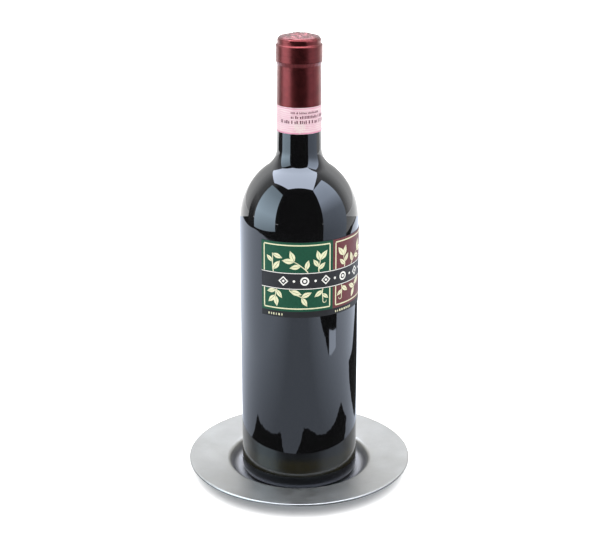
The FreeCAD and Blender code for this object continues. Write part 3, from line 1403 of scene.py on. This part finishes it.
@dataclass
class Label:
    """The paper label: a green and an oxblood panel, a dark band across both, and a laurel.

    Lengths are in millimetres. x counts from the label's middle and y from its lower edge.
    """

    bottle: Bottle
    turn: float
    bottom: float
    width: float = 93.8
    height: float = 49.2
    gap: float = 0.03
    paper: float = 0.15
    panel_from: float = 4.0
    band: Point = (18.5, 29.6)
    inset: float = 2.0
    line: float = 0.76
    ornament: float = 2.65
    ornaments: tuple[float, ...] = (-31.9, -18.6, -5.0, 8.0, 21.3, 34.6)
    seed: int = 9

    def wrap(self) -> Wrap:
        """How the label's print lies on the bottle."""
        return Wrap(lambda height: self.bottle.radius, self.turn, self.bottom)

    def sheet(self, name: str, layer: int, thickness: float = 0.02) -> Sheet:
        """A sheet of print on one of the layers over the paper."""
        return Sheet(name, self.gap + self.paper + 0.005 + 0.024 * layer, thickness)

    def build_paper(self) -> bpy.types.Object:
        """The paper itself.

        Returns:
            The paper.
        """
        sheet = Sheet("label_paper_sheet", self.gap, self.paper)
        sheet.rectangle((-self.width / 2, self.width / 2), (0, self.height))
        return sheet.wrapped(self.wrap())

    def build_panel(self, name: str, x: Point) -> bpy.types.Object:
        """One of the two coloured panels.

        Args:
            name: the piece's name.
            x: its two ends.

        Returns:
            The panel.
        """
        sheet = self.sheet(name, 0)
        sheet.rectangle(x, (self.panel_from, self.height - 0.15))
        return sheet.wrapped(self.wrap())

    def build_band(self) -> bpy.types.Object:
        """The dark band across both panels.

        Returns:
            The band.
        """
        sheet = self.sheet("label_dark_band", 2)
        sheet.rectangle((-self.width / 2 + 0.1, self.width / 2 - 0.1), self.band)
        return sheet.wrapped(self.wrap())

    def build_frames(self) -> bpy.types.Object:
        """The cream frame line round each panel.

        Returns:
            The lines.
        """
        sheet = self.sheet("label_cream_frames", 1)
        low, high = self.panel_from + self.inset - 0.1, self.height - self.inset
        for side in (-1, 1):
            near, far = 2.2 * side, (self.width / 2 - self.inset) * side
            for y in (low, high):
                sheet.rectangle((min(near, far), max(near, far)), (y - self.line / 2, y + self.line / 2))
            for x in (near, far):
                inner = (low + self.line / 2, high - self.line / 2)
                sheet.rectangle((x - self.line / 2, x + self.line / 2), inner)
        return sheet.wrapped(self.wrap())

    def build_band_print(self) -> bpy.types.Object:
        """The band's edge lines and its row of plain rings and lozenges.

        Returns:
            The print.
        """
        sheet = self.sheet("label_band_ornaments", 3)
        half = self.width / 2 - 0.1
        for y in (self.band[0] + 0.45, self.band[1] - 0.45):
            sheet.rectangle((-half, half), (y - 0.2, y + 0.2))
        middle = sum(self.band) / 2
        for index, x in enumerate(self.ornaments):
            if index % 2:
                sheet.ring((x, middle), self.ornament * 0.86, 0.95, sides=32)
                sheet.ring((x, middle), 0.5, 0.9, sides=16)
            else:
                sheet.ring((x, middle), self.ornament, 0.95, sides=4)
                sheet.ring((x, middle), 0.5, 0.9, sides=4)
        for left, right in zip(self.ornaments, self.ornaments[1:]):
            sheet.ring(((left + right) / 2, middle), 0.45, 0.7, sides=12)
        return sheet.wrapped(self.wrap())

    def build_sprigs(self) -> bpy.types.Object:
        """The cream laurel: sprigs that stand on the band and sprigs that hang from it.

        Returns:
            The laurel.
        """
        sheet = self.sheet("label_cream_laurel", 1)
        for side in (-1, 1):
            for sprig in STANDING:
                sprig.draw(sheet, self.band[1], 1, side)
            for sprig in HANGING:
                sprig.draw(sheet, self.band[0], -1, side)
        return sheet.wrapped(self.wrap())

    def build_marks(self) -> bpy.types.Object:
        """Tiny bars along the dark foot of the label, in the place of small print.

        Returns:
            The bars.
        """
        sheet = self.sheet("label_foot_marks", 1)
        draw = random.Random(self.seed)
        for start, end in ((-42.0, -32.0), (2.0, 16.0), (30.0, 42.0)):
            x = start
            while x < end:
                width = draw.uniform(0.5, 1.1)
                sheet.rectangle((x, x + width), (1.1, draw.choice((2.3, 2.5, 2.5))))
                x += width + draw.choice((0.9, 1.1, 1.1))
        return sheet.wrapped(self.wrap())


# ---------------------------------------------------------------- the studio


@dataclass(frozen=True)
class Panel:
    """A flat light, or a dark card, that only reflections show.

    Args:
        name: its name.
        corners: its corners in metres, in order.
        stops: (place in metres, radiance) along an axis, from the lowest place.
        tint: its colour.
        axis: the axis's name.
    """

    name: str
    corners: Sequence[Sequence[float]]
    stops: Sequence[Point]
    tint: Colour
    axis: str = "Z"

    def build(self) -> None:
        """Hangs the panel."""
        bm = bmesh.new()
        bmesh.ops.contextual_create(bm, geom=[bm.verts.new(corner) for corner in self.corners])
        card = new_piece(self.name, bm)
        card.data.materials.append(self._glow())
        card.visible_camera = False
        card.visible_diffuse = False
        card.visible_shadow = False

    def _glow(self) -> bpy.types.Material:
        """Its light.

        Returns:
            The material.
        """
        material = bpy.data.materials.new(self.name)
        material.use_nodes = True
        nodes = Nodes(material.node_tree)
        nodes.tree.nodes.clear()
        end = nodes.add("ShaderNodeOutputMaterial")
        light = nodes.add("ShaderNodeEmission")
        light.inputs["Color"].default_value = (*self.tint, 1.0)
        nodes.link(nodes.spread_along("Object", self.axis, self.stops), light.inputs["Strength"])
        nodes.link(light.outputs[0], end.inputs["Surface"])
        return material

    @classmethod
    def even(cls, name: str, corners: Sequence[Sequence[float]], radiance: float, tint: Colour) -> "Panel":
        """A panel of one radiance all over."""
        return cls(name, corners, ((0.0, radiance), (0.01, radiance)), tint)

    @classmethod
    def lying(
        cls, name: str, outline: Sequence[Point], height: float, radiance: float, tint: Colour,
    ) -> "Panel":
        """An even panel that lies level at a height, its outline in metres."""
        return cls.even(name, [(x, y, height) for x, y in outline], radiance, tint)

    @classmethod
    def upright(
        cls, name: str, turn: float, reach: float, width: float, stops: Sequence[Point], tint: Colour,
    ) -> "Panel":
        """A panel that stands square to a line from the bottle.

        Args:
            name: its name.
            turn: the line's azimuth in degrees.
            reach: its distance.
            width: its width.
            stops: its radiance by height, which also gives its foot and its top.
            tint: its colour.

        Returns:
            The panel.
        """
        angle = math.radians(turn)
        middle = Vector((math.sin(angle), -math.cos(angle), 0)) * reach
        across = Vector((math.cos(angle), math.sin(angle), 0)) * (width / 2)
        low, high = Vector((0, 0, stops[0][0])), Vector((0, 0, stops[-1][0]))
        ends = (middle - across, middle + across)
        return cls(name, [ends[0] + low, ends[1] + low, ends[1] + high, ends[0] + high], stops, tint)


def torn(corners: Sequence[Point], step: float = 5.0, jitter: float = 1.6, seed: int = 21) -> list[Point]:
    """Divides a closed outline and shakes its points, as a torn edge.

    Args:
        corners: the outline's corners in millimetres.
        step: the rough distance between points, in millimetres.
        jitter: how far a point may move, in millimetres.
        seed: what the shaking is drawn from.

    Returns:
        The torn outline in metres.
    """
    draw = random.Random(seed)
    points = []
    for start, end in zip(corners, [*corners[1:], corners[0]]):
        cuts = max(1, round(math.dist(start, end) / step))
        for cut in range(cuts):
            share = cut / cuts
            shake = jitter if cut else 0.0
            points.append(tuple(
                (a + (b - a) * share + draw.uniform(-shake, shake)) * MM for a, b in zip(start, end)
            ))
    return points


@dataclass
class Studio:
    """A pale table, a soft white surround, and large light panels that the glass mirrors.

    Lengths are in metres.

    Args:
        surround: how brightly the surround lights.
        mirrored: how bright it looks in reflections, by how far a direction points to the back.
        table_light: the power of the lamp on the table.
        floor_colour: the table's colour.
        plain: the colour of the dark cards.
        cool: the colour of the overhead box.
        slate: the colour of the table in the glass.
        dark: the radiance of the dark cards.
        eye: where the camera is.
        lens: its focal length, in millimetres, over a sensor 36 mm wide.
        tilt: how far it looks up from straight down, in degrees.
        pan: how far it looks to the left, in degrees.
    """

    surround: float = 1.45
    mirrored: tuple[Point, ...] = (
        (-0.2, 0.1), (0.0, 0.75), (0.26, 0.95), (0.45, 1.7), (0.64, 2.0), (0.90, 1.2), (1.0, 1.0),
    )
    table_light: float = 5.0
    floor_colour: Colour = (0.90, 0.90, 0.90)
    plain: Colour = (1.0, 1.0, 1.0)
    cool: Colour = (0.84, 0.91, 1.06)
    slate: Colour = (0.87, 0.95, 1.10)
    dark: float = 0.06
    eye: Sequence[float] = (0.0, -0.8507, 0.43555)
    lens: float = 83.8
    tilt: float = 71.07
    pan: float = -0.035

    def camera(self) -> None:
        """Places the camera in front, above the bottle's height and looking down at it."""
        data = bpy.data.cameras.new("front_camera")
        data.lens = self.lens
        data.sensor_width = 36.0
        camera = bpy.data.objects.new("front_camera", data)
        camera.location = self.eye
        camera.rotation_euler = (math.radians(self.tilt), 0.0, math.radians(self.pan))
        bpy.context.scene.collection.objects.link(camera)
        bpy.context.scene.camera = camera

    def world(self) -> None:
        """A surround that lights evenly, and looks darker in front and behind in reflections."""
        world = bpy.data.worlds.new("soft_surround")
        world.use_nodes = True
        bpy.context.scene.world = world
        nodes = Nodes(world.node_tree)
        background = nodes.tree.nodes["Background"]
        background.inputs["Color"].default_value = (1.0, 1.0, 1.0, 1.0)
        path = nodes.add("ShaderNodeLightPath")
        choose = nodes.add("ShaderNodeMix")
        choose.inputs["A"].default_value = self.surround
        nodes.link(path.outputs["Is Glossy Ray"], choose.inputs["Factor"])
        nodes.link(nodes.spread_along("Generated", "Y", self.mirrored), choose.inputs["B"])
        nodes.link(choose.outputs["Result"], background.inputs["Strength"])

    def floor(self) -> None:
        """The table: one large pale sheet."""
        bm = bmesh.new()
        bmesh.ops.create_grid(bm, x_segments=2, y_segments=2, size=6.0)
        floor = new_piece("table", bm)
        shader = Shader("pale_table")
        shader.set(Base_Color=(*self.floor_colour, 1.0), Roughness=0.9, Specular_IOR_Level=0.0)
        floor.data.materials.append(shader.material)
        self._table_light(floor)

    def _table_light(self, table: bpy.types.Object) -> None:
        """Adds a broad lamp from the front that clears the shadow on the table, and lights only that.

        Args:
            table: the table.
        """
        data = bpy.data.lights.new("table_light", "SUN")
        data.energy = self.table_light
        data.angle = math.radians(60)
        lamp = bpy.data.objects.new("table_light", data)
        lamp.rotation_euler = (math.radians(28), 0.0, 0.0)
        lamp.visible_glossy = False
        bpy.context.scene.collection.objects.link(lamp)
        lit = bpy.data.collections.new("table_light_receivers")
        lit.objects.link(table)
        lamp.light_linking.receiver_collection = lit

    def boxes(self) -> Iterable[Panel]:
        """The overhead box, the side boxes, and the dark cards in front and at the back left.

        Returns:
            The panels.
        """
        overhead = ((-0.40, -0.50), (0.52, -0.50), (0.56, 0.90), (-0.86, 0.95), (-0.86, 0.06))
        yield Panel.lying("overhead_box", overhead, 1.22, 10.9, self.cool)
        left = ((0.0, 3.4), (0.31, 6.4), (0.78, 4.0), (0.99, 3.6))
        yield Panel.upright("left_box", -69, 0.70, 0.62, left, (0.82, 1.01, 1.15))
        right = ((0.0, 1.2), (0.31, 2.0), (0.52, 5.0), (0.97, 6.8))
        yield Panel.upright("right_box", 72, 0.50, 0.507, right, (0.85, 0.955, 1.14))
        left_end, right_end, front, top = -0.50, 0.58, -0.62, 1.2
        flag = ((left_end, front, 0), (right_end, front, 0), (right_end, front, top), (left_end, front, top))
        yield Panel.even("front_flag", flag, self.dark, self.plain)
        gap = ((0.0, 0.10), (0.22, 0.25), (0.45, 1.1))
        yield Panel.upright("left_gap", -103.5, 0.68, 0.18, gap, self.plain)

    def table_cards(self) -> Iterable[Panel]:
        """What the glass mirrors of the table, in sheets that lie over one another.

        Returns:
            The panels.
        """
        sheet = 0.1 * MM
        glow = (
            (-0.62, 0.60), (-0.66, 0.04), (-0.58, -0.18), (-0.44, -0.36), (-0.26, -0.46),
            (0.26, -0.46), (0.37, -0.42), (0.46, -0.10), (0.52, 0.08), (0.52, 0.60),
        )
        stops = ((-0.66, 2.5), (-0.25, 2.1), (-0.09, 1.15), (0.09, 1.15), (0.25, 2.3), (0.52, 3.0))
        yield Panel("table_glow", [(x, y, 3 * sheet) for x, y in glow], stops, self.slate, "X")
        far, back = 3.0, 0.60
        ground = ((-far, -far), (far, -far), (far, back), (-far, back))
        yield Panel.lying("dark_ground", ground, 1.5 * sheet, 0.08, self.plain)
        side = ((0.58, 0.08), (far, 0.08), (far, back), (0.58, back))
        yield Panel.lying("right_ground", side, 2.2 * sheet, 1.3, self.plain)
        patches = {
            "left_ear": (
                (-141, -23), (-92, 6), (-80, -20), (-63, -52), (-32, -78), (-37, -85), (-68, -111),
                (-85, -88), (-110, -59), (-127, -35),
            ),
            "right_ear": (
                (162, -21), (128, 13), (86, -16), (56, -64), (-6, -84), (-10, -95), (8, -121), (19, -139),
                (38, -131), (80, -94), (108, -68), (131, -49),
            ),
            "back_strip": (
                (243, 300), (229, 205), (213, 128), (218, 70), (178, 61), (80, 70), (81, 89), (85, 131),
                (98, 171), (112, 216), (140, 259), (165, 350),
            ),
            "right_streak": (
                (236, -380), (400, -330), (420, -110), (304, -89), (272, -174), (221, -148), (232, -198),
                (222, -264),
            ),
        }
        for name, corners in patches.items():
            yield Panel.lying(name, torn(corners), 6 * sheet, self.dark, self.plain)
        chip = ((0.272, -0.174), (0.302, -0.099), (0.263, -0.087), (0.230, -0.132), (0.225, -0.144))
        yield Panel.lying("right_chip", chip, 8 * sheet, 4.6, self.slate)

    def build(self) -> None:
        """Sets up everything round the object."""
        bpy.context.scene.view_settings.view_transform = "Standard"
        self.camera()
        self.world()
        self.floor()
        for panel in (*self.boxes(), *self.table_cards()):
            panel.build()


def main() -> None:
    """Builds the pieces round the frame and sets up the studio."""
    logging.basicConfig(level=logging.INFO, format="%(name)s: %(message)s")
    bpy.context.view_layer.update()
    effects = Effects()

    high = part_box("coaster_plate")[1] / MM
    coaster = Coaster(rim_radius=high.x, rim_top=high.z)
    dress(coaster.build(), Pewter().make(effects), Body.COASTER, Slot.PEWTER, ["coaster_plate"])

    bottle = Bottle(foot=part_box("bottle_glass")[0].z / MM)
    dress(bottle.build(), DarkGlass().make(effects), Body.BOTTLE, Slot.GLASS, ["bottle_glass"])
    dress(bottle.build_cork(), CorkBark().make(effects), Body.CORK, Slot.CORK, ["cork"])
    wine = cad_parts["wine"]
    wine.data.materials.clear()
    wine.data.materials.append(RedWine().make(effects))

    capsule = Capsule(bottle)
    foil = Foil().make(effects)
    dress(capsule.build_skirt(), foil, Body.BOTTLE, Slot.FOIL, ["capsule_sleeve"])
    dress(capsule.build_cap(), foil, Body.CAPSULE, Slot.FOIL, ["capsule_cap"])
    top_foil = Foil(colour=(0.140, 0.040, 0.038), deep=(0.060, 0.014, 0.014))
    pressed = top_foil.make(effects, "pressed_top_foil", 0.32, 0.08)
    dress(capsule.build_disc(), pressed, Body.CAPSULE, Slot.FOIL, ["capsule_disc"])

    rows = (Row(6.4, 2.1, -18.0, 18.0), Row(9.6, 1.8, -10.5, 15.0), Row(12.5, 1.3, -10.5, 8.0))
    band = NeckBand(bottle, rows=rows)
    dress(band.build(), BandPaper().make(effects), Body.BOTTLE, Slot.BAND, ["neck_band"])
    edge_ink = Ink("band_rose_ink", (0.45, 0.15, 0.24)).make(effects)
    pale_ink = Ink("band_pale_ink", (0.50, 0.46, 0.43)).make(effects)
    mauve_ink = Ink("band_mauve_ink", (0.10, 0.035, 0.055)).make(effects)
    dress(band.build_edge(), edge_ink, Body.BOTTLE, Slot.BAND)
    dress(band.build_rosette(), pale_ink, Body.BOTTLE, Slot.BAND)
    dress(band.build_bars(), mauve_ink, Body.BOTTLE, Slot.BAND)

    label_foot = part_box("front_label")[0].z / MM
    label = Label(bottle, turn=math.radians(33.2), bottom=label_foot)
    cream = Ink("label_cream_ink", (0.50, 0.495, 0.33)).make(effects)
    papers = {
        "paper": Ink("label_dark_paper", (0.010, 0.010, 0.011)).make(effects),
        "green": Ink("label_green_ink", (0.0012, 0.052, 0.025), shade=0.75).make(effects),
        "red": Ink("label_oxblood_ink", (0.098, 0.021, 0.025), shade=0.75).make(effects),
        "band": Ink("label_black_ink", (0.014, 0.014, 0.016)).make(effects),
    }
    half = label.width / 2 - 0.1
    dress(label.build_paper(), papers["paper"], Body.BOTTLE, Slot.LABEL, ["front_label"])
    dress(label.build_panel("label_green_panel", (-half, 0.0)), papers["green"], Body.BOTTLE, Slot.LABEL)
    dress(label.build_panel("label_red_panel", (0.0, half)), papers["red"], Body.BOTTLE, Slot.LABEL)
    dress(label.build_band(), papers["band"], Body.BOTTLE, Slot.LABEL)
    for printed in (label.build_frames(), label.build_sprigs(), label.build_marks()):
        dress(printed, cream, Body.BOTTLE, Slot.LABEL)
    white = Ink("label_white_ink", (0.60, 0.60, 0.57)).make(effects)
    dress(label.build_band_print(), white, Body.BOTTLE, Slot.LABEL)

    Studio().build()


if __name__ == "__main__":
    main()
